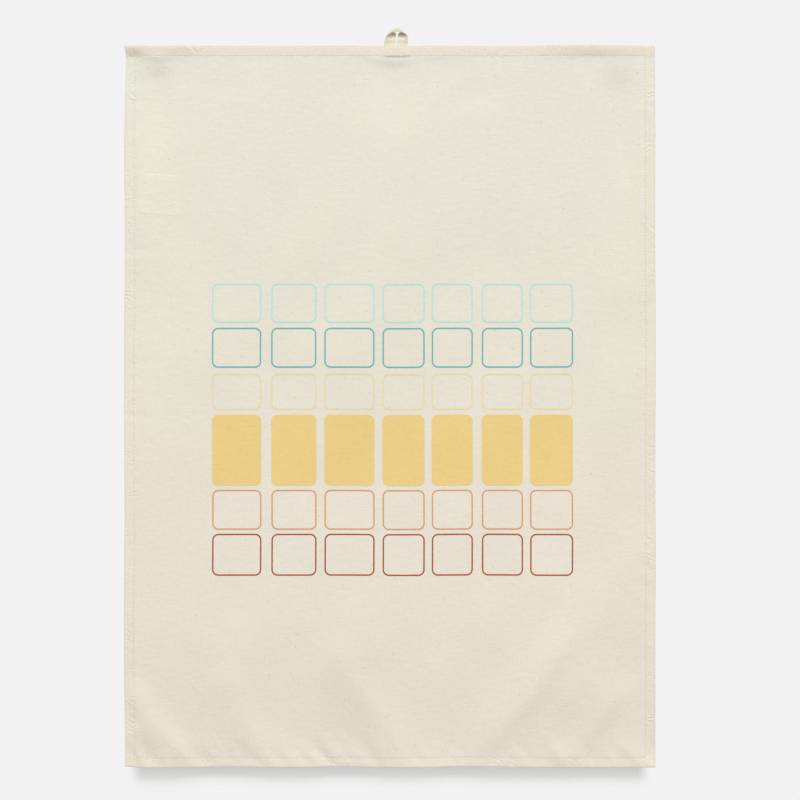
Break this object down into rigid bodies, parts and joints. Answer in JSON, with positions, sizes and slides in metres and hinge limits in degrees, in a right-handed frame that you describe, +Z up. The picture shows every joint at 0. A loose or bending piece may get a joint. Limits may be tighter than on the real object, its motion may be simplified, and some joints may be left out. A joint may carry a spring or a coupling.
{
  "type": "tea towel",
  "caption": "Flat woven cotton tea towel with sewn double-turned hems, a twisted tape hanging loop, a care label on the back and a printed panel of rounded tiles.",
  "frame": {"origin": "the hanging point: the middle of the tape's underside at the crest of the loop, where a hook bears", "axes": "+X to the right as the printed front is seen, +Y out of the back, so the front faces -Y, +Z up along the hanging cloth"},
  "size_m": [0.51, 0.011, 0.712],
  "materials": {
    "cotton_cloth": "undyed plain weave cotton, matt, with seed flecks",
    "cotton_hem": "the same cotton, turned twice and sewn",
    "cotton_thread": "undyed sewing thread",
    "cotton_tape": "undyed twill tape",
    "label_satin": "white woven satin ribbon",
    "print_aqua": "thin matt textile ink",
    "print_teal": "thin matt textile ink",
    "print_pale_yellow": "thin matt textile ink",
    "print_yellow": "thin matt textile ink",
    "print_orange": "thin matt textile ink",
    "print_red": "thin matt textile ink"
  },
  "bodies": {
    "loop": {"hanging_loop": "cotton_tape"},
    "upper_towel": {"label_sewn_edge": "label_satin", "left_bobbin_thread_upper": "cotton_thread", "left_hem_upper": "cotton_hem", "left_needle_thread_upper": "cotton_thread", "loop_end_left": "cotton_tape", "loop_end_right": "cotton_tape", "right_bobbin_thread_upper": "cotton_thread", "right_hem_upper": "cotton_hem", "right_needle_thread_upper": "cotton_thread", "top_bobbin_thread": "cotton_thread", "top_hem": "cotton_hem", "top_needle_thread": "cotton_thread", "upper_cloth": "cotton_cloth"},
    "lower_towel": {"bottom_bobbin_thread": "cotton_thread", "bottom_hem": "cotton_hem", "bottom_needle_thread": "cotton_thread", "left_bobbin_thread_lower": "cotton_thread", "left_hem_lower": "cotton_hem", "left_needle_thread_lower": "cotton_thread", "lower_cloth": "cotton_cloth", "right_bobbin_thread_lower": "cotton_thread", "right_hem_lower": "cotton_hem", "right_needle_thread_lower": "cotton_thread"},
    "label": {"care_label": "label_satin"}
  },
  "joints": [
    {"name": "towel_swing", "type": "hinge", "parent": "loop", "child": "upper_towel", "pos_m": [0, 0, -0.0125], "axis": [-1, 0, 0], "range_deg": [-75, 75]},
    {"name": "cloth_fold", "type": "hinge", "parent": "upper_towel", "child": "lower_towel", "pos_m": [-0.006, -0.00495, -0.3674], "axis": [-1, 0, 0], "range_deg": [0, 175]},
    {"name": "label_flip", "type": "hinge", "parent": "upper_towel", "child": "label", "pos_m": [-0.25, -0.00022, -0.15715], "axis": [0, 0, 1], "range_deg": [0, 150]}
  ]
}
